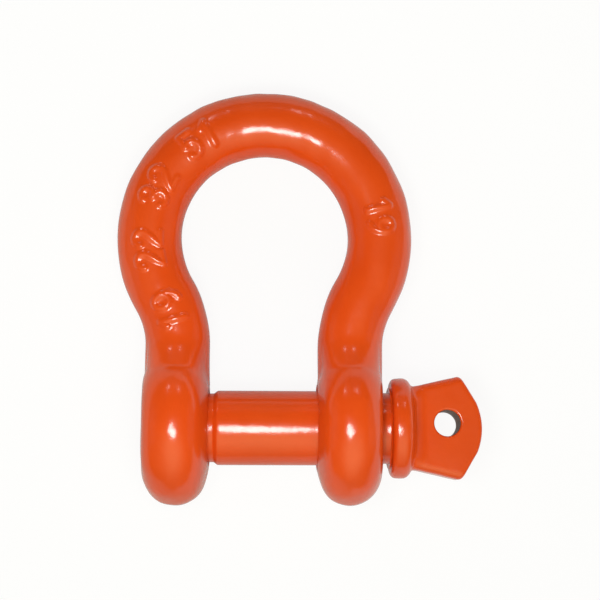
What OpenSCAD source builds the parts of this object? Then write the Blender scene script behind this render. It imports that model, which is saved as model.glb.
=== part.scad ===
// Screw pin bow shackle: a forged bow with two eyes, closed by a one-piece screw pin.
// Millimetres. X runs along the pin toward its head, Y toward the crown, Z up.
// The origin lies on the pin's axis, midway between the two eyes.
// The shackle lies on its side, on the rims of both eyes and on the crown.

/* [Bow] */
// Diameter of the round bar of the bow
bar_d = 19.4; // [16:0.2:21]
// Clear width inside the bow at its widest
bow_w = 50.2; // [46:0.2:58]
// Clear length from the pin to the inside of the crown
bow_l = 71.2; // [64:0.2:84]
// Radius of the reverse curve that turns the bow into its legs, at the middle of the bar
turn_r = 30; // [24:0.5:40]
// Radius of the hollow between a leg and its eye, seen from the side
neck_r = 6; // [6:0.5:16]

/* [Eyes] */
// Outside diameter of the eyes
eye_d = 46; // [43:0.5:52]
// Thickness of the eyes between their flats
eye_t = 19.8; // [18:0.2:22]
// Radius of the rounded rim of the eyes
rim_r = 8.5; // [7:0.1:9]
// Radius of the bulge of the eyes' faces, from their flats to the rim
bulge_r = 25.6; // [20:0.2:40]
// Clear width of the jaw, between the spot faces inside the eyes
jaw_w = 32.8; // [28:0.2:36]
// Depth of the spot face inside each eye
spot_depth = 0.4; // [0.2:0.1:0.8]
// Room around the shank that the spot faces leave, on each side
spot_room = 1.9; // [1:0.1:2.5]
// Width of the bevel at the mouths of both eye bores
mouth_bevel = 0.8; // [0.3:0.1:1]

/* [Pin] */
// Diameter of the pin's shank
pin_d = 22.2; // [20:0.2:24]
// Play of the shank in the plain eye, across the diameter
shank_play = 1.2; // [0.6:0.1:1.6]
// Diameter of the threaded end, taken at the middle of the thread
thread_d = 20.4; // [18:0.2:21]
// Play of the threaded end in the tapped eye, across the diameter
thread_play = 0.2; // [0.1:0.05:0.4]
// Distance from the shank's shoulder to the spot face of the tapped eye
shoulder_gap = 1.6; // [1.4:0.1:4]
// Distance of the pin's end inside the outer face of the tapped eye
end_inset = 0.8; // [0:0.1:3]
// Width of the bevel on the pin's end and the length of the one at its shoulder
pin_bevel = 1.1; // [0.6:0.1:1.6]
// Gap between the collar and the plain eye, with the pin less than a turn loose
collar_gap = 1.9; // [1:0.1:4]

/* [Pin head] */
// Diameter of the collar
collar_d = 30; // [28:0.2:36]
// Width of the collar along the pin
collar_w = 6; // [5:0.1:8]
// Length of the flat head beyond the collar
head_l = 21.2; // [18:0.2:28]
// Width of the head where it leaves the collar
head_root_w = 24.2; // [22:0.2:27]
// Width of the head at its two corners
head_w = 31; // [28:0.2:36]
// Distance from the tip of the head back to its corners
tip_l = 6.4; // [5:0.2:8]
// Width of the blunt tip between its two slants
tip_w = 15; // [14:0.5:26]
// Radius of the rounded tip
tip_r = 19; // [14:0.5:24]
// Thickness of the flat head
head_t = 11.4; // [9:0.2:14]
// Roundness of the head's long edges
head_edge = 2.4; // [1:0.1:3]
// Radius of the hollow between the collar and the head's faces
root_r = 5.5; // [4:0.1:6.5]
// Turn of the head about the pin's axis, against the plane of the bow, in degrees
head_turn = 4; // [-30:1:30]
// Diameter of the cross hole for a wire or a bar
hole_d = 8; // [5:0.2:10]
// Distance from the tip of the head to the middle of the cross hole
hole_in = 10.3; // [9:0.1:12]
// Distance of the cross hole from the pin's axis, toward the crown
hole_off = 1.3; // [0:0.1:2]

/* [Hidden] */
$fn = 72;
// How far a cutting shape reaches past what it cuts
over = 4;
cut = 0.01;
// Each length of the bar starts a little inside the one before it, and a hair thinner
seam_a = 1;
seam_l = 0.5;
seam = 0.06;
bar_r = bar_d / 2;
bow_r = bow_w / 2 + bar_r;
bow_y = pin_d / 2 + bow_l - bow_w / 2;
flat_x = jaw_w / 2 - spot_depth;
leg_x = flat_x + eye_t / 2;
face_x = flat_x + eye_t;
// The legs run from the bow into the eyes along a reverse curve
turn_a = acos((leg_x + turn_r) / (bow_r + turn_r));
leg_h = bow_y - (bow_r + turn_r) * sin(turn_a);
// An eye is a disc with bulging faces, which dip a little under a ring of round section
face_over = 0.1;
dip = 0.12;
dip_r = rim_r - dip;
ring_r = eye_d / 2 - rim_r;
bulge_y = bulge_r - eye_t / 2 - face_over;
blend_l = sqrt(pow(bulge_r - dip_r, 2) - pow(bulge_y, 2));
bulge_x = ring_r - blend_l;
disc_r = ring_r + dip_r * blend_l / (bulge_r - dip_r);
// Two curved ribs carry each leg into the rim of its eye
rib_under = 0.3;
rib_r = rim_r - rib_under;
rib_path_r = neck_r + rib_r;
rib_z = rib_path_r + bar_r - rib_r - rib_under;
rib_y = sqrt(pow(ring_r + rib_path_r, 2) - pow(rib_z, 2));
rib_a = asin(rib_y / (ring_r + rib_path_r));
shank_bore_d = pin_d + shank_play;
thread_bore_d = thread_d + thread_play;
spot_d = pin_d + 2 * spot_room;
// The collar's rim is round too, with flats on both faces
collar_over = 0.2;
// The pin, from its threaded end to its tip
shoulder_x = -jaw_w / 2 + shoulder_gap;
end_x = -face_x + end_inset;
collar_x = face_x + collar_gap;
head_x = collar_x + collar_w;
tip_x = head_x + head_l;
corner_x = tip_x - tip_l;
// The whole lies on both eyes and the crown
lay_a = asin((eye_d / 2 - bar_r) / (bow_y + bow_r));

module lay() {
  rotate([-lay_a, 0, 0]) children();
}

module bar_arc(r, from, sweep, thick) {
  rotate([0, 0, from]) rotate_extrude(angle = sweep) translate([r, 0]) circle(thick);
}

module rib() {
  translate([0, rib_y, rib_z])
    rotate([0, 90, 0])
      rotate([0, 0, -rib_a])
        rotate_extrude(angle = rib_a) translate([rib_path_r, 0]) circle(rib_r);
}

module eye() {
  rotate([0, 90, 0]) rotate_extrude() {
    translate([ring_r, 0]) circle(rim_r);
    intersection() {
      translate([0, -eye_t / 2]) square([disc_r, eye_t]);
      translate([bulge_x, -bulge_y]) circle(bulge_r);
      translate([bulge_x, bulge_y]) circle(bulge_r);
    }
  }
}

module leg() {
  translate([leg_x + turn_r, leg_h, 0])
    bar_arc(turn_r, 180 - turn_a - seam_a, turn_a + seam_a, bar_r - seam);
  translate([leg_x, 0, 0]) {
    translate([0, leg_h + seam_l, 0]) rotate([90, 0, 0])
      cylinder(r = bar_r - 2 * seam, h = leg_h + seam_l - ring_r / 2);
    rib();
    mirror([0, 0, 1]) rib();
    eye();
  }
}

// Bore along the pin's axis through one eye, with bevelled mouths
module eye_bore(d) {
  mouth = mouth_bevel + cut;
  translate([flat_x, 0, 0]) rotate([0, 90, 0]) {
    translate([0, 0, -over]) cylinder(d = d, h = eye_t + 2 * over);
    translate([0, 0, spot_depth - cut])
      cylinder(d1 = d + 2 * mouth, d2 = d, h = mouth);
    translate([0, 0, eye_t + cut - mouth])
      cylinder(d1 = d, d2 = d + 2 * mouth, h = mouth);
    translate([0, 0, -over]) cylinder(d = spot_d, h = spot_depth + over);
  }
}

module bow_body() {
  color([0.85, 0.30, 0.10]) lay() difference() {
    union() {
      translate([0, bow_y, 0]) bar_arc(bow_r, -turn_a, 180 + 2 * turn_a, bar_r);
      leg();
      mirror([1, 0, 0]) leg();
    }
    eye_bore(shank_bore_d);
    mirror([1, 0, 0]) eye_bore(thread_bore_d);
  }
}

// Round stock of the pin, turned about its axis
module pin_stock() {
  shank_r = pin_d / 2;
  thread_r = thread_d / 2;
  translate([end_x, 0, 0]) rotate([0, 90, 0])
    cylinder(r1 = thread_r - pin_bevel, r2 = thread_r, h = pin_bevel);
  translate([end_x + pin_bevel, 0, 0]) rotate([0, 90, 0])
    cylinder(r = thread_r, h = shoulder_x - end_x - pin_bevel);
  translate([shoulder_x, 0, 0]) rotate([0, 90, 0])
    cylinder(r1 = thread_r, r2 = shank_r, h = pin_bevel);
  translate([shoulder_x + pin_bevel, 0, 0]) rotate([0, 90, 0])
    cylinder(r = shank_r, h = collar_x + collar_w / 2 - shoulder_x - pin_bevel);
}

module collar() {
  round_r = collar_w / 2 + collar_over;
  translate([collar_x, 0, 0]) rotate([0, 90, 0]) {
    intersection() {
      translate([0, 0, collar_w / 2])
        rotate_extrude() translate([collar_d / 2 - round_r, 0]) circle(round_r);
      cylinder(d = collar_d + over, h = collar_w);
    }
    cylinder(d = collar_d - 2 * round_r, h = collar_w);
  }
}

// Cross-section of the head: flat faces and rounded long edges
module head_section(w) {
  hull() {
    for (sy = [-1, 1])
      for (sz = [-1, 1])
        translate([sz * (head_t / 2 - head_edge), sy * (w / 2 - head_edge)])
          circle(head_edge, $fn = 32);
  }
}

// Fan of the head, widening from inside the collar to the corners and past the tip
module head_fan() {
  grow = (head_w - head_root_w) / (corner_x - head_x);
  back = collar_w / 2;
  hull() {
    translate([head_x - back, 0, 0]) rotate([0, 90, 0])
      linear_extrude(cut) head_section(head_root_w - grow * back);
    translate([tip_x + over, 0, 0]) rotate([0, 90, 0])
      linear_extrude(cut) head_section(head_w + grow * (tip_l + over));
  }
}

// Outline of the head's end: two slants that start at the corners, and a rounded tip
module head_outline() {
  side = head_w / 2 + over;
  back_x = collar_x + collar_w / 2;
  drop = tip_r - sqrt(tip_r * tip_r - tip_w * tip_w / 4);
  slant_x = tip_x - drop;
  slope = (slant_x - corner_x) / (head_w / 2 - tip_w / 2);
  start_x = corner_x - over * slope;
  linear_extrude(head_t + over, center = true) {
    polygon([
      [back_x, -side],
      [start_x, -side],
      [slant_x, -tip_w / 2],
      [slant_x, tip_w / 2],
      [start_x, side],
      [back_x, side]
    ]);
    intersection() {
      translate([tip_x - tip_r, 0]) circle(tip_r);
      translate([slant_x - cut, -tip_w / 2]) square([drop + over, tip_w]);
    }
  }
}

// Round root of the head, hollowed down to the flat faces on both sides
module head_root() {
  intersection() {
    translate([head_x - collar_w / 2, 0, 0]) rotate([0, 90, 0])
      cylinder(d = head_root_w, h = root_r + collar_w / 2);
    rotate([90, 0, 0]) linear_extrude(head_root_w + over, center = true) difference() {
      translate([collar_x, -head_root_w]) square([collar_w + root_r, 2 * head_root_w]);
      for (side = [-1, 1]) {
        translate([head_x + root_r, side * (head_t / 2 + root_r)]) circle(root_r);
        translate([head_x, side * (head_t / 2 + root_r + head_root_w) - head_root_w])
          square(2 * head_root_w);
      }
    }
  }
}

module head() {
  difference() {
    union() {
      head_root();
      intersection() {
        head_fan();
        head_outline();
      }
    }
    translate([tip_x - hole_in, hole_off, 0])
      cylinder(d = hole_d, h = head_t + over, center = true);
  }
}

module screw_pin() {
  color([0.85, 0.30, 0.10]) lay() {
    pin_stock();
    collar();
    rotate([-head_turn, 0, 0]) head();
  }
}

bow_body();
screw_pin();
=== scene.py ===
"""Dressed model of the screw pin bow shackle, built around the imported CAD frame.

Shapes are worked out in millimetres in the plane of the bow (u along the pin, v toward the crown,
w out of that plane), and laid on the floor in metres at the end.
"""
import math

import bmesh
import bpy
import numpy as np
from mathutils import Matrix, Vector


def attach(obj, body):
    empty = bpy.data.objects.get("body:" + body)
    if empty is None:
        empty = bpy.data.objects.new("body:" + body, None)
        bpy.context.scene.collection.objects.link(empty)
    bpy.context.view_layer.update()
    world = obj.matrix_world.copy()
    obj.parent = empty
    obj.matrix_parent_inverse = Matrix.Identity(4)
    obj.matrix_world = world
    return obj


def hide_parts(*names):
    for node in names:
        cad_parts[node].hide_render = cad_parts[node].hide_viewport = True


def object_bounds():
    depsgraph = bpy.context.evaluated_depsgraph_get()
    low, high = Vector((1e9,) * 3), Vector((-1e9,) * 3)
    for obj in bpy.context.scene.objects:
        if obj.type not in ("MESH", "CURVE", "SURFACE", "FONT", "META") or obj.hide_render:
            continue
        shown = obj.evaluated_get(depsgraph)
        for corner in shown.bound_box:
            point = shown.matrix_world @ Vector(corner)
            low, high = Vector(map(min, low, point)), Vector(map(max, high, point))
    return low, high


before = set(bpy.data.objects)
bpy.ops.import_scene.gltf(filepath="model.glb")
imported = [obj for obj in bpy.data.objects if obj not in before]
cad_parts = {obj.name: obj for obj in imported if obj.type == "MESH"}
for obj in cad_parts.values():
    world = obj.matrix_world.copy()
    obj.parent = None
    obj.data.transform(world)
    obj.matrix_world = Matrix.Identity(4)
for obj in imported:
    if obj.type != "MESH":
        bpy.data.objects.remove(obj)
cad_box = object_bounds()

MM = 0.001
TINY = 1e-6

# Bow
BAR_R = 9.7  # round bar
BOW_W = 50.2  # clear width inside
BOW_L = 71.2  # clear length from the pin to the crown
TURN_R = 30.0  # reverse curve from the bow into a leg, at the middle of the bar
NECK_R = 6.0  # hollow between a leg and its eye, in front and behind
NECK_LEAST = 0.4  # the same hollow at the sides of the leg

# Eyes
EYE_D = 46.0  # outside diameter
EYE_T = 19.8  # thickness between the flats
RIM_R = 8.8  # rounded rim
BULGE_R = 25.6  # bulge of the faces, from the flats to the rim
FACE_OVER = 0.1  # height of the bulge past the flats
JAW_W = 32.8  # clear width between the spot faces
SPOT_DEPTH = 0.4
SPOT_R = 13.0
SHANK_BORE_R = 11.7
MOUTH_BEVEL = 0.8
TAP_BEVEL = 1.2
# How much fuller each eye is than that profile, on its inner and its outer side
LEFT_OVER = (0.0, 1.0)
RIGHT_OVER = (0.4, 0.3)
# The outer faces are flat, so far from the middle of the eye, and lean in by a draft from the parting plane
LEFT_FLAT = 10.4
RIGHT_FLAT = 9.74
FLAT_DRAFT = 0.06
FLAT_EASE = 0.8

# Pin
PIN_R = 11.1  # shank
PIN_BEVEL = 1.1
SHOULDER_GAP = 1.6  # from the shoulder to the spot face of the tapped eye
END_INSET = 0.8  # of the pin's end inside the outer face of the tapped eye
GROOVE_R = 10.6  # relief groove beside the collar
GROOVE_L = 2.5
COLLAR_GAP = 2.0
COLLAR_D = 30.0
COLLAR_W = 6.2
COLLAR_EDGE_IN = 1.4  # rounding toward the eye
COLLAR_EDGE_OUT = 2.6  # rounding toward the head
COLLAR_CROWN = 0.35

# Head of the pin
HEAD_L = 20.9
HEAD_ROOT_W = 24.2  # width where it leaves the collar
HEAD_W = 31.0  # width at its corners
HEAD_T = 11.4
HEAD_EDGE = 2.4
TIP_L = 6.4  # from the tip back to the corners
TIP_W = 15.0
TIP_R = 19.0
TIP_EDGE = 1.0
ROOT_R = 5.0  # hollow between the collar and the faces
ROOT_EASE = 1.6
HEAD_TURN = 4.0  # turn about the pin's axis, in degrees
HOLE_R = 3.9  # cross hole
HOLE_IN = 10.3  # from the tip to its middle
HOLE_OFF = 1.3  # from the pin's axis to its middle
HOLE_LIP = 0.7  # rounding of its mouths

# Thread of the pin and of the tapped eye
PITCH = 2.82
PIN_CREST_R = 10.33
PIN_ROOT_R = 9.4
NECK_STOCK_R = 10.25  # plain neck between thread and shoulder
NECK_STOCK_L = 3.6
TAP_MINOR_R = 10.45
TAP_MAJOR_R = 11.25
LAND = 0.12  # share of the pitch that is flat at the crest and at the root
THREAD_FADE = 1.0  # half the length in which the thread grows shallow
THREAD_RUNOUT = 1.2  # length in which it eases into the neck
END_FLAT_R = 8.33  # flat of the pin's end
END_EASE = 0.2  # from that flat to the start of the bevel

# Places that follow from the sizes
BOW_R = BOW_W / 2 + BAR_R
BOW_Y = PIN_R + BOW_L - BOW_W / 2
FLAT_X = JAW_W / 2 - SPOT_DEPTH
LEG_X = FLAT_X + EYE_T / 2
FACE_X = FLAT_X + EYE_T
TURN_X = LEG_X + TURN_R
TURN_A = math.acos(TURN_X / (BOW_R + TURN_R))
LEG_H = BOW_Y - (BOW_R + TURN_R) * math.sin(TURN_A)
CROWN_HALF = BOW_R * (math.pi / 2 + TURN_A)
RING_R = EYE_D / 2 - RIM_R
BULGE_Y = BULGE_R - EYE_T / 2 - FACE_OVER
BLEND_L = math.sqrt((BULGE_R - RIM_R) ** 2 - BULGE_Y ** 2)
BULGE_X = RING_R - BLEND_L
SHOULDER_X = -JAW_W / 2 + SHOULDER_GAP
THREAD_TO_X = SHOULDER_X - NECK_STOCK_L
END_X = -FACE_X + END_INSET
COLLAR_X = FACE_X + COLLAR_GAP
HEAD_X = COLLAR_X + COLLAR_W
TIP_X = HEAD_X + HEAD_L
CORNER_X = TIP_X - TIP_L
HOLE_X = TIP_X - HOLE_IN
LAY_A = math.asin((EYE_D / 2 - BAR_R) / (BOW_Y + BOW_R))


# Small helpers for fields of distance

def smooth_min(a, b, k):
    h = np.maximum(k - np.abs(a - b), 0.0) / k
    return np.minimum(a, b) - h * h * k * 0.25


def smooth_max(a, b, k):
    return -smooth_min(-a, -b, k)


def round_max(a, b, r):
    corner = np.hypot(np.maximum(r + a, 0.0), np.maximum(r + b, 0.0))
    return np.minimum(-r, np.maximum(a, b)) + corner


def smooth_step(t):
    t = np.clip(t, 0.0, 1.0)
    return t * t * (3.0 - 2.0 * t)


def side_of(x):
    """-1 on the left, and 1 on the right and in the middle."""
    return np.where(x < 0, -1.0, 1.0)


def gradient(field, p, step=0.02):
    g = np.empty_like(p)
    for axis in range(3):
        d = np.zeros(3)
        d[axis] = step
        g[:, axis] = (field(p + d) - field(p - d)) / (2 * step)
    return g


def project(p, field, rounds, longest=1.0, least_slope=0.25):
    """Moves points onto the zero surface of a field."""
    for _ in range(rounds):
        g = gradient(field, p)
        step = field(p) / np.maximum((g * g).sum(1), least_slope)
        p = p - g * np.clip(step, -longest, longest)[:, None]
    return p


def relax(p, edges, field, rounds, share=0.5):
    """Evens out the points of a mesh while they stay on the zero surface."""
    count = np.bincount(edges.ravel(), minlength=len(p)).astype(float)[:, None]
    for _ in range(rounds):
        total = np.zeros_like(p)
        np.add.at(total, edges[:, 0], p[edges[:, 1]])
        np.add.at(total, edges[:, 1], p[edges[:, 0]])
        p = project(p + share * (total / count - p), field, 2)
    return p


# The bow: a round bar on a path of five lengths, run into two eyes

def bar_field(p):
    """Distance to the bar and the direction away from it."""
    u = np.abs(p[:, 0])
    v = p[:, 1]
    w = p[:, 2]
    foot = np.minimum(v, 0.0)
    crown_r = np.maximum(np.hypot(u, v - BOW_Y), TINY)
    turn_r = np.maximum(np.hypot(u - TURN_X, v - LEG_H), TINY)
    leg_r = np.maximum(np.hypot(u - LEG_X, foot), TINY)
    lengths = [TURN_X * (v - BOW_Y) - (LEG_H - BOW_Y) * u > 0, v > LEG_H]
    reach = np.select(lengths, [crown_r - BOW_R, turn_r - TURN_R], leg_r)
    out_u = np.select(lengths, [u / crown_r, (u - TURN_X) / turn_r], (u - LEG_X) / leg_r)
    out_v = np.select(lengths, [(v - BOW_Y) / crown_r, (v - LEG_H) / turn_r], foot / leg_r)
    far = np.maximum(np.hypot(reach, w), TINY)
    away = np.column_stack([side_of(p[:, 0]) * reach * out_u / far, reach * out_v / far, w / far])
    return far - BAR_R, away


def eye_field(p):
    """Distance to the eyes, unbored, and the direction away from them."""
    side = side_of(p[:, 0])
    h_signed = np.abs(p[:, 0]) - LEG_X
    outer = h_signed > 0
    over = np.where(side < 0, np.where(outer, LEFT_OVER[1], LEFT_OVER[0]),
                    np.where(outer, RIGHT_OVER[1], RIGHT_OVER[0]))
    full = EYE_T / 2 + FACE_OVER
    h = np.abs(h_signed) * full / (full + over)
    r = np.maximum(np.hypot(p[:, 1], p[:, 2]), TINY)
    on_rim = BLEND_L * (h + BULGE_Y) - BULGE_Y * (r - BULGE_X) < 0
    ring = np.maximum(np.hypot(r - RING_R, h), TINY)
    bulge = np.hypot(r - BULGE_X, h + BULGE_Y)
    rounded = np.where(on_rim, ring - RIM_R, bulge - BULGE_R)
    flat = h_signed - np.where(side < 0, LEFT_FLAT, RIGHT_FLAT) + FLAT_DRAFT * np.abs(p[:, 2])
    n_r = np.where(on_rim, (r - RING_R) / ring, (r - BULGE_X) / bulge)
    n_h = np.where(on_rim, h / ring, (h + BULGE_Y) / bulge)
    away = np.column_stack([side * side_of(h_signed) * n_h, n_r * p[:, 1] / r, n_r * p[:, 2] / r])
    return smooth_max(rounded, flat, FLAT_EASE), away


# Slow unevenness of a forged surface: a few waves with seeded directions
WAVE_COUNT = 9
WAVE_H = 0.028
WAVE_SPREAD = 0.42
DRAWS = np.random.RandomState(11)
WAVE_K = DRAWS.normal(0.0, WAVE_SPREAD, (WAVE_COUNT, 3))
WAVE_PHASE = DRAWS.uniform(0.0, 2.0 * math.pi, WAVE_COUNT)


def forging_waves(p):
    total = np.zeros(len(p))
    for k, phase in zip(WAVE_K, WAVE_PHASE):
        total += np.sin(p @ k + phase)
    return total * WAVE_H


# How far the surfaces of leg and eye point the same way, where the hollow between them is none and full
SAME_NONE = 0.95
SAME_FULL = 0.5
# How far the leg's surface faces front or back, where the hollow has faded out and where it is full
FACING_NONE = 0.1
FACING_FULL = 0.6


def bow_field(p):
    """Distance to the bow, with a hollow where each leg runs into its eye."""
    bar, bar_away = bar_field(p)
    eye, eye_away = eye_field(p)
    same = (bar_away * eye_away).sum(1)
    crease = smooth_step((SAME_NONE - same) / (SAME_NONE - SAME_FULL))
    facing = smooth_step((np.abs(bar_away[:, 2]) - FACING_NONE) / (FACING_FULL - FACING_NONE))
    hollow = NECK_R * crease * facing + NECK_LEAST
    fill = np.hypot(np.maximum(hollow - bar, 0.0), np.maximum(hollow - eye, 0.0))
    return np.maximum(hollow, np.minimum(bar, eye)) - fill + forging_waves(p)


def path_point(s):
    """Middle of the bar at a distance s from the crown (left is negative), and the way out of the bow."""
    side = -1.0 if s < 0 else 1.0
    rest = abs(s) - CROWN_HALF
    if rest < 0:
        a = math.pi / 2 - abs(s) / BOW_R
        out = (math.cos(a), math.sin(a))
        point = (BOW_R * out[0], BOW_Y + BOW_R * out[1])
    elif rest < TURN_R * TURN_A:
        a = TURN_A - rest / TURN_R
        out = (math.cos(a), -math.sin(a))
        point = (TURN_X - TURN_R * math.cos(a), LEG_H + TURN_R * math.sin(a))
    else:
        out = (1.0, 0.0)
        point = (LEG_X, LEG_H + TURN_R * TURN_A - rest)
    return np.array([side * point[0], point[1]]), np.array([side * out[0], out[1]])


# Meshes

def mesh_arrays(mesh):
    p = np.empty(len(mesh.vertices) * 3)
    mesh.vertices.foreach_get("co", p)
    edges = np.empty(len(mesh.edges) * 2, dtype=np.int32)
    mesh.edges.foreach_get("vertices", edges)
    return p.reshape(-1, 3), edges.reshape(-1, 2)


def set_points(mesh, p):
    mesh.vertices.foreach_set("co", np.ascontiguousarray(p, dtype=np.float32).ravel())
    mesh.update()


def new_object(name, points, faces):
    mesh = bpy.data.meshes.new(name)
    mesh.from_pydata([tuple(q) for q in points], [], faces)
    mesh.validate()
    obj = bpy.data.objects.new(name, mesh)
    bpy.context.scene.collection.objects.link(obj)
    return obj


def outward(obj):
    """Turns all faces of a closed mesh outward."""
    bm = bmesh.new()
    bm.from_mesh(obj.data)
    bmesh.ops.recalc_face_normals(bm, faces=bm.faces)
    bm.to_mesh(obj.data)
    bm.free()
    return obj


def apply_modifiers(obj):
    bpy.context.view_layer.update()
    deps = bpy.context.evaluated_depsgraph_get()
    mesh = bpy.data.meshes.new_from_object(obj.evaluated_get(deps))
    obj.modifiers.clear()
    old = obj.data
    obj.data = mesh
    bpy.data.meshes.remove(old)


def boolean(obj, other, operation):
    cut = obj.modifiers.new("shape", "BOOLEAN")
    cut.operation = operation
    cut.object = other
    cut.solver = "MANIFOLD"
    apply_modifiers(obj)
    bpy.data.objects.remove(other)


SETTLE_ROUNDS = 8
RELAX_ROUNDS = 6


def settle(obj, voxel, field):
    """Remeshes a rough form and brings it evenly onto the zero surface of a field."""
    remesh = obj.modifiers.new("remesh", "REMESH")
    remesh.mode = "VOXEL"
    remesh.voxel_size = voxel
    apply_modifiers(obj)
    p, edges = mesh_arrays(obj.data)
    p = relax(project(p, field, SETTLE_ROUNDS), edges, field, RELAX_ROUNDS)
    set_points(obj.data, p)
    return p


def closed_rings(rings, offset=0):
    """Points and faces of a closed skin over rings of points, with a fan at both ends."""
    rows = len(rings)
    columns = len(rings[0])
    ends = np.array([rings[0].mean(0), rings[-1].mean(0)])
    end_point = offset + rows * columns
    last_row = offset + (rows - 1) * columns
    following = [(j + 1) % columns for j in range(columns)]
    faces = []
    for row in range(offset, last_row, columns):
        for j, k in enumerate(following):
            faces.append((row + j, row + k, row + columns + k, row + columns + j))
    for j, k in enumerate(following):
        faces.append((offset + k, offset + j, end_point))
        faces.append((last_row + j, last_row + k, end_point + 1))
    return np.concatenate([*rings, ends]), faces


def turned(profile, columns, radius=None):
    """Rings about the pin's axis along a profile of (x, r); radius(x, angles, r) may shape them."""
    angles = np.linspace(0.0, 2.0 * math.pi, columns, endpoint=False)
    rings = []
    for x, r in profile:
        rr = np.full(columns, r) if radius is None else radius(x, angles, r)
        rings.append(np.column_stack([np.full(columns, x), rr * np.cos(angles), rr * np.sin(angles)]))
    return rings


BAR_RINGS = 160
BAR_COLUMNS = 40
EYE_RINGS = 24
EYE_COLUMNS = 72
ROUGH_RIM = 8.0


def rough_bow():
    """The bar and both eyes as overlapping closed skins."""
    half = CROWN_HALF + TURN_R * TURN_A + LEG_H
    angles = np.linspace(0.0, 2.0 * math.pi, BAR_COLUMNS, endpoint=False)
    across = BAR_R * np.cos(angles)
    rings = []
    for s in np.linspace(-half, half, BAR_RINGS):
        point, out = path_point(s)
        rings.append(np.column_stack([point[0] + out[0] * across, point[1] + out[1] * across,
                                      BAR_R * np.sin(angles)]))
    points, faces = closed_rings(rings)
    for side in (-1, 1):
        profile = [(side * LEG_X + EYE_T / 2 * math.cos(a), EYE_D / 2 - ROUGH_RIM * (1.0 - math.sin(a)))
                   for a in np.linspace(math.pi, 0.0, EYE_RINGS)]
        eye_points, eye_faces = closed_rings(turned(profile, EYE_COLUMNS), len(points))
        points = np.concatenate([points, eye_points])
        faces += eye_faces
    return new_object("bow", points, faces)


# Raised numerals, as strokes in a box one unit high

def arc(cx, cy, rx, ry, start, end, count=10):
    return [(cx + rx * math.cos(math.radians(a)), cy + ry * math.sin(math.radians(a)))
            for a in np.linspace(start, end, count)]


STROKES = {
    "1": [[(0.10, 0.78), (0.34, 1.0), (0.34, 0.0)]],
    "2": [arc(0.31, 0.72, 0.27, 0.28, 170, -35) + [(0.04, 0.0), (0.60, 0.0)]],
    "3": [arc(0.29, 0.76, 0.25, 0.24, 150, -90) + arc(0.29, 0.26, 0.30, 0.26, 90, -150)],
    "5": [[(0.54, 1.0), (0.12, 1.0), (0.08, 0.55)] + arc(0.28, 0.32, 0.30, 0.32, 115, -140)],
    "9": [arc(0.31, 0.70, 0.27, 0.30, 0, 360, 16),
          [(0.58, 0.70)] + arc(0.16, 0.62, 0.42, 0.62, 0, -85, 8)],
}
STROKE_R = 0.85
STROKE_SINK = 0.35  # of the strokes' middle below the bar's surface
STROKE_BLEND = 0.9
STROKE_STEP = 0.12  # longest step along a stroke, in the box
# Plain sizes in millimetres: text, start from the crown, height and pitch
NUMERALS = (("19 22 32 51", -84.0, 7.4, 6.4), ("19", 44.0, 6.6, 5.6))


def evenly(line):
    """The same stroke with points close enough together to follow the bar's round."""
    points = [line[0]]
    for a, b in zip(line[:-1], line[1:]):
        count = max(1, math.ceil(math.dist(a, b) / STROKE_STEP))
        points += [(a[0] + (b[0] - a[0]) * i / count, a[1] + (b[1] - a[1]) * i / count)
                   for i in range(1, count + 1)]
    return points


def numeral_segments(text, start, height, pitch):
    """Line segments of raised numerals on the front of the bar, running along it from start."""
    segments = []
    for place, numeral in enumerate(text):
        for line in STROKES.get(numeral, []):
            points = []
            for x, y in evenly(line):
                point, out = path_point(start + place * pitch + x * height)
                across = (y - 0.5) * height
                lift = math.sqrt((BAR_R - STROKE_SINK) ** 2 - across ** 2)
                points.append((*(point + out * across), lift))
            segments += zip(points[:-1], points[1:])
    return np.array(segments)


def stroke_distance(p, segments):
    best = np.full(len(p), np.inf)
    for a, b in segments:
        ab = b - a
        t = np.clip(((p - a) @ ab) / max(ab @ ab, TINY), 0.0, 1.0)
        best = np.minimum(best, np.linalg.norm(p - a - t[:, None] * ab, axis=1))
    return best


BOW_VOXEL = 0.8
NUMERAL_BAND = 2.7  # how far round the strokes the mesh is made finer
NUMERAL_CUTS = 3
NUMERAL_REACH = 4.0  # how far round the strokes the points follow them


def raise_numerals(obj, p):
    """Makes the mesh finer round the strokes and lifts it onto them."""
    segments = np.concatenate([numeral_segments(*numerals) for numerals in NUMERALS])
    near = stroke_distance(p, segments) < NUMERAL_BAND
    bm = bmesh.new()
    bm.from_mesh(obj.data)
    bm.verts.ensure_lookup_table()
    picked = [e for e in bm.edges if near[e.verts[0].index] and near[e.verts[1].index]]
    bmesh.ops.subdivide_edges(bm, edges=picked, cuts=NUMERAL_CUTS, use_grid_fill=True)
    bm.to_mesh(obj.data)
    bm.free()

    def numbered(q):
        return smooth_min(bow_field(q), stroke_distance(q, segments) - STROKE_R, STROKE_BLEND)

    p, _ = mesh_arrays(obj.data)
    patch = stroke_distance(p, segments) < NUMERAL_REACH
    p[patch] = project(p[patch], numbered, rounds=6, longest=0.4)
    set_points(obj.data, p)


BORE_COLUMNS = 120
TAP_RINGS = 110
JAW_CLEAR = 6.0  # how far a cutter reaches into the jaw
MOUTH_CLEAR = 3.0  # how far it runs on past the outer face
CUT_STEP = 0.001
CUT_EASE = 0.05


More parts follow.
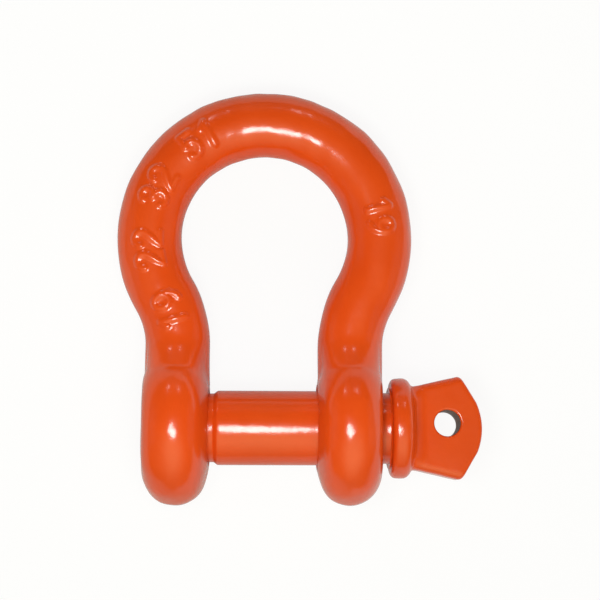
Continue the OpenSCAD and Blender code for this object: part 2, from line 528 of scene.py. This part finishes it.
def eye_cutter(side):
    """What is bored out of an eye: spot face, bevelled mouths, and a plain or tapped bore."""
    tapped = side < 0
    r = TAP_MINOR_R if tapped else SHANK_BORE_R
    bevel = TAP_BEVEL if tapped else MOUTH_BEVEL
    spot_x = FLAT_X + SPOT_DEPTH
    inner = spot_x + bevel
    outer = LEG_X + (LEFT_FLAT if tapped else RIGHT_FLAT) - FLAT_DRAFT * r - bevel
    profile = [(spot_x - JAW_CLEAR, SPOT_R), (spot_x, SPOT_R), (spot_x + CUT_STEP, r + bevel), (inner, r)]
    profile += [(x, r) for x in np.linspace(inner + CUT_EASE, outer - CUT_EASE, TAP_RINGS if tapped else 2)]
    profile += [(outer, r), (outer + MOUTH_CLEAR, r + MOUTH_CLEAR)]

    def threaded(x, angles, rr):
        if not tapped or x <= inner or x >= outer:
            return np.full(len(angles), rr)
        return rr + (TAP_MAJOR_R - TAP_MINOR_R) * thread_wave(-x, angles)

    points, faces = closed_rings(turned(profile, BORE_COLUMNS, threaded))
    points[:, 0] *= side
    return outward(new_object("cutter", points, faces))


def thread_wave(x, angles):
    """0 at the root and 1 at the crest of a right-hand thread."""
    turn = (x / PITCH - angles / (2.0 * math.pi)) % 1.0
    ramp = 1.0 - np.abs(turn - 0.5) * 2.0
    return smooth_step((ramp - LAND) / (1.0 - 2.0 * LAND))


def build_bow():
    obj = rough_bow()
    p = settle(obj, BOW_VOXEL, bow_field)
    raise_numerals(obj, p)
    for side in (-1, 1):
        boolean(obj, eye_cutter(side), "DIFFERENCE")
    return obj


# The pin: turned stock, and a collar and head as one blended form

AXIS_R = 0.4  # smallest ring of the stock, closed by a fan
THREAD_STEP = 0.14
SHANK_RINGS = 40
STOCK_COLUMNS = 128
STOCK_INTO_COLLAR = 2.0
END_ROUND = (0.12, 0.15)


def stock_profile():
    """Half outline of the pin from its end into the collar, with a few points to ease each corner."""
    turns = np.arange(END_X + END_EASE, THREAD_TO_X + THREAD_RUNOUT, THREAD_STEP)
    shank_x = SHOULDER_X + PIN_BEVEL
    groove_x = COLLAR_X - GROOVE_L
    inside_x = COLLAR_X + STOCK_INTO_COLLAR
    profile = [(END_X, AXIS_R), (END_X, END_FLAT_R), (END_X + END_ROUND[0], END_FLAT_R + END_ROUND[1])]
    profile += [(x, PIN_CREST_R) for x in turns]
    profile += [(turns[-1] + THREAD_STEP, NECK_STOCK_R), (SHOULDER_X - 0.25, NECK_STOCK_R)]
    profile += [(SHOULDER_X, NECK_STOCK_R + 0.03), (SHOULDER_X + 0.15, NECK_STOCK_R + 0.12)]
    profile += [(shank_x - 0.25, PIN_R - 0.18), (shank_x - 0.08, PIN_R - 0.07), (shank_x + 0.2, PIN_R)]
    profile += [(x, PIN_R) for x in np.linspace(shank_x + 1.0, groove_x - 1.2, SHANK_RINGS)]
    profile += [(groove_x - 0.8, PIN_R - 0.05), (groove_x - 0.3, GROOVE_R + 0.05), (groove_x, GROOVE_R)]
    profile += [(COLLAR_X - 0.5, GROOVE_R), (COLLAR_X - 0.15, GROOVE_R + 0.12)]
    profile += [(COLLAR_X + 0.2, GROOVE_R + 0.5), (inside_x, GROOVE_R + 0.5), (inside_x, AXIS_R)]
    return profile


def stock_radius(x, angles, r):
    """Radius of the stock all round: a bevelled end with the thread cut into it, and plain beyond."""
    if x <= END_X + END_ROUND[0] or x >= THREAD_TO_X + THREAD_RUNOUT:
        return np.full(len(angles), r)
    bevel = END_FLAT_R + END_EASE + x - END_X
    fade = smooth_step((THREAD_TO_X + THREAD_FADE - x) / (2.0 * THREAD_FADE))
    cut = PIN_CREST_R - (PIN_CREST_R - PIN_ROOT_R) * fade * (1.0 - thread_wave(x, angles))
    plain = 1.0 - smooth_step((THREAD_TO_X + THREAD_RUNOUT - x) / THREAD_RUNOUT)
    return np.minimum(cut * (1.0 - plain) + NECK_STOCK_R * plain, min(PIN_CREST_R, bevel))


def head_frame(p):
    """From the bow's plane to the frame of the head, which is turned about the pin's axis."""
    t = math.radians(HEAD_TURN)
    v = p[:, 1] * math.cos(t) - p[:, 2] * math.sin(t)
    w = p[:, 1] * math.sin(t) + p[:, 2] * math.cos(t)
    return p[:, 0], v, w


def from_head_frame(x, v, w):
    t = math.radians(HEAD_TURN)
    return np.column_stack([x, v * math.cos(t) + w * math.sin(t), w * math.cos(t) - v * math.sin(t)])


def collar_field(p):
    r = np.hypot(p[:, 1], p[:, 2])
    x = p[:, 0] - COLLAR_X - COLLAR_W / 2
    edge = np.where(x < 0.0, COLLAR_EDGE_IN, COLLAR_EDGE_OUT)
    crown = COLLAR_CROWN * (x / COLLAR_W * 2.0) ** 2
    out_r = r + crown - (COLLAR_D / 2 - edge)
    out_x = np.abs(x) - (COLLAR_W / 2 - edge)
    corner = np.hypot(np.maximum(out_r, 0.0), np.maximum(out_x, 0.0))
    return corner + np.minimum(np.maximum(out_r, out_x), 0.0) - edge


# Blend of the hollow root into the flat head: its least, what is added toward the collar, and how that fades
JOIN_LEAST = 0.02
JOIN_ADDED = 1.4
JOIN_INSET = 0.6
JOIN_L = 3.0


def head_field(p):
    """Distance to the fan of the head and to the hollow root that joins it to the collar."""
    x, v, w = head_frame(p)
    v_abs = np.abs(v)
    w_out = np.abs(w) - HEAD_T / 2
    hollow = ROOT_R - np.hypot(x - HEAD_X - ROOT_R, w_out - ROOT_R)
    hollow = np.where(x < HEAD_X, w_out - ROOT_R, hollow)
    root = smooth_max(hollow, np.hypot(v, w) - HEAD_ROOT_W / 2, ROOT_EASE)
    root = np.maximum(root, x - HEAD_X - ROOT_R)
    join = JOIN_LEAST + JOIN_ADDED * smooth_step((HEAD_X + ROOT_R - JOIN_INSET - x) / JOIN_L)

    grow = (HEAD_W - HEAD_ROOT_W) / 2 / (CORNER_X - HEAD_X)
    side = (v_abs - HEAD_ROOT_W / 2 - grow * (x - HEAD_X)) / math.hypot(1.0, grow)
    bar = round_max(side, w_out, HEAD_EDGE)
    drop = TIP_R - math.sqrt(TIP_R ** 2 - TIP_W ** 2 / 4)
    run = TIP_X - drop - CORNER_X
    rise = (HEAD_W - TIP_W) / 2
    slant = ((x - CORNER_X) * rise + (v_abs - HEAD_W / 2) * run) / math.hypot(run, rise)
    tip = np.hypot(x - TIP_X + TIP_R, v) - TIP_R
    end = np.where(v_abs < TIP_W / 2, np.maximum(slant, tip), slant)
    fan = np.maximum(round_max(bar, end, TIP_EDGE), HEAD_X - COLLAR_W / 2 - x)
    return smooth_min(root, fan, join)


COLLAR_BLEND = 0.9
HEAD_WAVES = 0.4  # share of the forging waves on collar and head


def collar_and_head(p):
    return smooth_min(collar_field(p), head_field(p), COLLAR_BLEND) + HEAD_WAVES * forging_waves(p)


HEAD_VOXEL = 0.5
COLLAR_COLUMNS = 64


def rough_head():
    """Collar and head as two overlapping closed skins."""
    core_r = 4.0
    side_r = 13.5
    bead_r = 14.6
    root_r = HEAD_ROOT_W / 2
    root_x = HEAD_X + 1.5
    profile = [(COLLAR_X, core_r), (COLLAR_X, side_r), (COLLAR_X + 1.0, bead_r), (HEAD_X - 1.0, bead_r),
               (HEAD_X, side_r), (HEAD_X + 0.2, root_r), (root_x, root_r), (root_x, core_r)]
    points, faces = closed_rings(turned(profile, COLLAR_COLUMNS))
    half = [(COLLAR_X + 1.0, root_r - 0.6), (CORNER_X, HEAD_W / 2), (TIP_X - 1.5, TIP_W / 2), (TIP_X, 0.0)]
    outline = np.array(half + [(x, -v) for x, v in reversed(half[:-1])])
    rings = [from_head_frame(outline[:, 0], outline[:, 1], w) for w in (-HEAD_T / 2, HEAD_T / 2)]
    slab, slab_faces = closed_rings(rings, len(points))
    return outward(new_object("pin", np.concatenate([points, slab]), faces + slab_faces))


HOLE_COLUMNS = 72
LIP_STEPS = 9
HOLE_CLEAR = 2.0  # how far the cutter runs on past the head's faces


def hole_cutter():
    """Cross hole with rounded mouths, square to the head's faces."""
    mouth = -HEAD_T / 2
    profile = [(mouth - HOLE_CLEAR, HOLE_R + HOLE_LIP)]
    for a in np.linspace(0.0, math.pi / 2, LIP_STEPS):
        profile.append((mouth + HOLE_LIP * (1.0 - math.cos(a)), HOLE_R + HOLE_LIP * (1.0 - math.sin(a))))
    profile += [(-x, r) for x, r in reversed(profile)]
    points, faces = closed_rings(turned(profile, HOLE_COLUMNS))
    placed = from_head_frame(points[:, 2] + HOLE_X, points[:, 1] + HOLE_OFF, points[:, 0])
    return outward(new_object("cutter", placed, faces))


def build_pin():
    obj = rough_head()
    settle(obj, HEAD_VOXEL, collar_and_head)
    points, faces = closed_rings(turned(stock_profile(), STOCK_COLUMNS, stock_radius))
    boolean(obj, outward(new_object("stock", points, faces)), "UNION")
    boolean(obj, hole_cutter(), "DIFFERENCE")
    return obj


def lay_down(obj):
    """From millimetres in the bow's plane to metres in the row frame, lying on the floor."""
    p, _ = mesh_arrays(obj.data)
    c = math.cos(LAY_A)
    s = math.sin(LAY_A)
    laid = np.column_stack([p[:, 0], p[:, 1] * c + p[:, 2] * s, p[:, 2] * c - p[:, 1] * s]) * MM
    set_points(obj.data, laid)


SHARP_FROM = 32.0  # edges that turn by more degrees than this stay sharp


def shade(obj, material):
    obj.data.materials.clear()
    obj.data.materials.append(material)
    obj.data.shade_smooth()
    obj.data.set_sharp_from_angle(angle=math.radians(SHARP_FROM))


# Materials

def add_node(tree, kind, inputs=None, operation=None):
    """A new node; each input is a plain value or another node's output."""
    node = tree.nodes.new("ShaderNode" + kind)
    if operation:
        node.operation = operation
    for key, value in (inputs or {}).items():
        if isinstance(value, bpy.types.NodeSocket):
            tree.links.new(value, node.inputs[key])
        else:
            node.inputs[key].default_value = value
    return node


def ramp(tree, value, low, high):
    """Colour between two stops, each a position and a colour."""
    node = add_node(tree, "ValToRGB", {"Fac": value})
    for element, (position, color) in zip(node.color_ramp.elements, (low, high)):
        element.position = position
        element.color = (*color, 1.0)
    return node.outputs["Color"]


PAINT_DEEP = (0.690, 0.066, 0.0060)
PAINT_PALE = (0.735, 0.076, 0.0080)
PAINT_IOR = 1.58


def paint(name, seed):
    """Gloss orange paint over forged steel: slight mottle, ripples and a few specks."""
    material = bpy.data.materials.new(name)
    material.use_nodes = True
    tree = material.node_tree
    bsdf = tree.nodes["Principled BSDF"]
    place = add_node(tree, "TexCoord").outputs["Object"]
    shift = add_node(tree, "Mapping", {"Vector": place, "Location": (seed, 0.7 * seed, 1.3 * seed)})

    def noise(scale, detail, rough):
        return add_node(tree, "TexNoise", {"Vector": shift.outputs["Vector"], "Scale": scale,
                                           "Detail": detail, "Roughness": rough}).outputs["Fac"]

    mottle = noise(scale=60.0, detail=3.0, rough=0.6)
    tint = ramp(tree, mottle, (0.32, PAINT_DEEP), (0.68, PAINT_PALE))
    haze = noise(scale=140.0, detail=2.0, rough=0.5)
    gloss = add_node(tree, "MapRange", {"Value": haze, "To Min": 0.13, "To Max": 0.22})
    ripple = noise(scale=320.0, detail=2.0, rough=0.45)
    soft = add_node(tree, "Bump", {"Height": ripple, "Strength": 0.12, "Distance": 0.0006})
    specks = noise(scale=1200.0, detail=1.0, rough=0.5)
    raised = add_node(tree, "MapRange", {"Value": specks, "From Min": 0.60, "From Max": 0.80})
    fine = add_node(tree, "Bump", {"Height": raised.outputs["Result"], "Normal": soft.outputs["Normal"],
                                   "Strength": 0.09, "Distance": 0.0001})
    tree.links.new(tint, bsdf.inputs["Base Color"])
    tree.links.new(gloss.outputs["Result"], bsdf.inputs["Roughness"])
    tree.links.new(fine.outputs["Normal"], bsdf.inputs["Normal"])
    bsdf.inputs["IOR"].default_value = PAINT_IOR
    return material


# Browns of the cross hole's wall: thin paint over steel, made dark as painted shade of the hole.
HOLE_WALL_DARK_PAINTED_SHADE = (0.085, 0.050, 0.032)
HOLE_WALL_PALE_PAINTED_SHADE = (0.200, 0.105, 0.065)


def hole_wall_thin_paint_painted_shade():
    """Thin, dull paint over steel inside the cross hole, its colour darkened as painted shade of the hole.
    """
    material = bpy.data.materials.new("hole_wall_with_painted_shade")
    material.use_nodes = True
    tree = material.node_tree
    bsdf = tree.nodes["Principled BSDF"]
    place = add_node(tree, "TexCoord").outputs["Object"]
    patches = add_node(tree, "TexNoise", {"Vector": place, "Scale": 420.0, "Detail": 3.0}).outputs["Fac"]
    dull = add_node(tree, "MapRange", {"Value": patches, "To Min": 0.45, "To Max": 0.65})
    tint = ramp(tree, patches, (0.35, HOLE_WALL_DARK_PAINTED_SHADE), (0.70, HOLE_WALL_PALE_PAINTED_SHADE))
    tree.links.new(tint, bsdf.inputs["Base Color"])
    tree.links.new(dull.outputs["Result"], bsdf.inputs["Roughness"])
    return material


WALL_SLACK = 0.05


def dress_hole(obj):
    """Gives the wall of the cross hole its own material, darkened as painted shade; works in the bow's
    plane, in millimetres.
    """
    obj.data.materials.append(hole_wall_thin_paint_painted_shade())
    faces = obj.data.polygons
    centers = np.empty(len(faces) * 3)
    faces.foreach_get("center", centers)
    x, v, _ = head_frame(centers.reshape(-1, 3))
    painted_shade_faces = np.hypot(x - HOLE_X, v - HOLE_OFF) < HOLE_R + WALL_SLACK
    faces.foreach_set("material_index", painted_shade_faces.astype(np.int32))
    obj.data.update()


# How white the floor is to the camera, and the least and most of that which reflections show
FLOOR_WHITE = 0.9
FLOOR_MIRRORED = (0.23, 0.60)
# Where the mirrored floor starts to brighten, and where it is brightest, along the pin
BRIGHTER_FROM = 0.0
BRIGHTEST_AT = 0.06
FLOOR_PALE = (0.50, 0.50, 0.50, 1.0)
FLOOR_SHOWN = (0.95, 0.95, 0.95, 1.0)
WHITE = (1.0, 1.0, 1.0, 1.0)


def floor_material():
    """Pale floor, nearly white to the camera, that keeps a faint shadow."""
    material = bpy.data.materials.new("pale_floor")
    material.use_nodes = True
    tree = material.node_tree
    tree.nodes.clear()
    pale = add_node(tree, "BsdfDiffuse", {"Color": FLOOR_PALE})
    bright = add_node(tree, "BsdfDiffuse", {"Color": FLOOR_SHOWN})
    white = add_node(tree, "Emission", {"Color": WHITE, "Strength": 1.0})
    shown = add_node(tree, "MixShader", {"Fac": FLOOR_WHITE, 1: bright.outputs["BSDF"],
                                         2: white.outputs["Emission"]})
    place = add_node(tree, "NewGeometry").outputs["Position"]
    along = add_node(tree, "SeparateXYZ", {"Vector": place}).outputs["X"]
    share = add_node(tree, "MapRange", {"Value": along, "From Min": BRIGHTER_FROM, "From Max": BRIGHTEST_AT,
                                        "To Min": FLOOR_MIRRORED[0], "To Max": FLOOR_MIRRORED[1]})
    path = add_node(tree, "LightPath").outputs
    mirrored = add_node(tree, "Math", {0: path["Is Glossy Ray"], 1: share.outputs["Result"],
                                       2: path["Is Camera Ray"]}, "MULTIPLY_ADD")
    seen = add_node(tree, "Math", {0: mirrored.outputs["Value"], 1: path["Is Transmission Ray"]}, "ADD")
    seen.use_clamp = True
    mix = add_node(tree, "MixShader", {"Fac": seen.outputs["Value"], 1: pale.outputs["BSDF"],
                                       2: shown.outputs["Shader"]})
    add_node(tree, "OutputMaterial", {"Surface": mix.outputs["Shader"]})
    return material


# Light

ROOM_COLOR = (1.0, 0.96, 0.55, 1.0)
# Brightness of the room: its ceiling, and its walls on the near and the far side, up to a height
CEILING = 0.03
WALL_NEAR = 0.12
WALL_FAR = 0.0
WALL_TOP = 0.85
# A soft warm glow high on the near side
GLOW = 1.35
GLOW_TOWARD = (0.0, -0.5, 0.866)
GLOW_POWER = 5.0


def world_light():
    """A dim room with a glow, by the direction that is looked in."""
    world = bpy.data.worlds.new("studio")
    bpy.context.scene.world = world
    world.use_nodes = True
    tree = world.node_tree
    tree.nodes.clear()
    way = add_node(tree, "TexCoord").outputs["Generated"]
    axes = add_node(tree, "SeparateXYZ", {"Vector": way}).outputs
    low = add_node(tree, "MapRange", {"Value": axes["Z"], "From Min": 0.0, "From Max": WALL_TOP,
                                      "To Min": 1.0, "To Max": 0.0})
    near = add_node(tree, "MapRange", {"Value": axes["Y"], "From Min": -1.0, "From Max": 1.0,
                                       "To Min": WALL_NEAR, "To Max": WALL_FAR})
    walls = add_node(tree, "Math", {0: low.outputs["Result"], 1: near.outputs["Result"], 2: CEILING},
                     "MULTIPLY_ADD")
    toward = add_node(tree, "VectorMath", {0: way, 1: GLOW_TOWARD}, "DOT_PRODUCT")
    lit = add_node(tree, "Math", {0: toward.outputs["Value"], 1: 0.0}, "MAXIMUM")
    lobe = add_node(tree, "Math", {0: lit.outputs["Value"], 1: GLOW_POWER}, "POWER")
    whole = add_node(tree, "Math", {0: lobe.outputs["Value"], 1: GLOW, 2: walls.outputs["Value"]},
                     "MULTIPLY_ADD")
    room = add_node(tree, "Background", {"Color": ROOM_COLOR, "Strength": whole.outputs["Value"]})
    add_node(tree, "OutputWorld", {"Surface": room.outputs["Background"]})


MIDDLE = (0.0, 0.03, 0.0)


def area_light(name, place, size, power, target=MIDDLE):
    """A rectangular lamp: places and sizes in metres, power in watts."""
    light = bpy.data.lights.new(name, "AREA")
    light.shape = "RECTANGLE"
    light.size = size[0]
    light.size_y = size[1]
    light.energy = power
    obj = bpy.data.objects.new(name, light)
    bpy.context.scene.collection.objects.link(obj)
    obj.location = Vector(place)
    obj.rotation_euler = (Vector(target) - Vector(place)).to_track_quat("-Z", "Y").to_euler()
    obj.visible_camera = False
    return obj


FILL_SIZE = (0.4, 0.3)
# Place and power of the fills, on the near side, the right, the left and the far side
FILLS = (((0.0, -0.5, 0.12), 0.3), ((0.5, 0.04, 0.12), 0.85), ((-0.5, 0.04, 0.12), 0.75),
         ((0.0, 0.55, 0.15), 0.75))


def lamps():
    """A small key overhead, two far windows, and soft fills too even to show as spots in the paint."""
    area_light("key", place=(-0.012, 0.020, 0.225), size=(0.078, 0.058), power=0.285,
               target=(-0.005, 0.03, 0.0))
    area_light("window", place=(-0.36, 0.93, 0.37), size=(0.12, 0.12), power=0.28)
    area_light("window", place=(0.20, 0.93, 0.40), size=(0.08, 0.08), power=0.14)
    for place, power in FILLS:
        fill = area_light("fill", place, FILL_SIZE, power)
        fill.visible_glossy = False


# The camera of the photograph: turns in degrees, place in millimetres, focal length in pixels
CAMERA_TURNS = (1.344, 3.202, -0.411)
CAMERA_OVER = (10.648, 38.448)
CAMERA_AWAY = 400.657
CAMERA_FOCUS = 1343.8
FRAME_PX = 600.0
SENSOR = 36.0


def make_camera():
    yaw, pitch, roll = (math.radians(a) for a in CAMERA_TURNS)
    turn = Matrix.Rotation(roll, 3, "Z") @ Matrix.Rotation(pitch, 3, "X") @ Matrix.Rotation(yaw, 3, "Y")
    turn = turn.transposed()
    data = bpy.data.cameras.new("camera")
    data.sensor_fit = "HORIZONTAL"
    data.sensor_width = SENSOR
    data.lens = CAMERA_FOCUS / FRAME_PX * SENSOR
    data.clip_start = 0.01
    data.clip_end = 20.0
    obj = bpy.data.objects.new("camera", data)
    bpy.context.scene.collection.objects.link(obj)
    place = turn @ Vector((0.0, 0.0, CAMERA_AWAY)) + Vector((*CAMERA_OVER, 0.0))
    obj.matrix_world = Matrix.Translation(place * MM) @ turn.to_4x4()
    bpy.context.scene.camera = obj


FLOOR_REACH = 8.0


def make_floor():
    z = cad_box[0][2]
    corners = [(x * FLOOR_REACH, y * FLOOR_REACH, z) for x, y in ((-1, -1), (1, -1), (1, 1), (-1, 1))]
    obj = new_object("floor", corners, [(0, 1, 2, 3)])
    obj.data.materials.append(floor_material())
    return obj


# The whole scene

bow = build_bow()
pin = build_pin()
for piece, node, body, slot, seed in ((bow, "bow_body", "bow", "bow_paint", 3.1),
                                      (pin, "screw_pin", "pin", "pin_paint", 7.7)):
    shade(piece, paint(slot, seed))
    if piece is pin:
        dress_hole(piece)
    lay_down(piece)
    piece.name = node + "_painted"
    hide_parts(node)
    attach(piece, body)

floor = make_floor()
world_light()
lamps()
make_camera()
bpy.context.scene.view_settings.view_transform = "Standard"
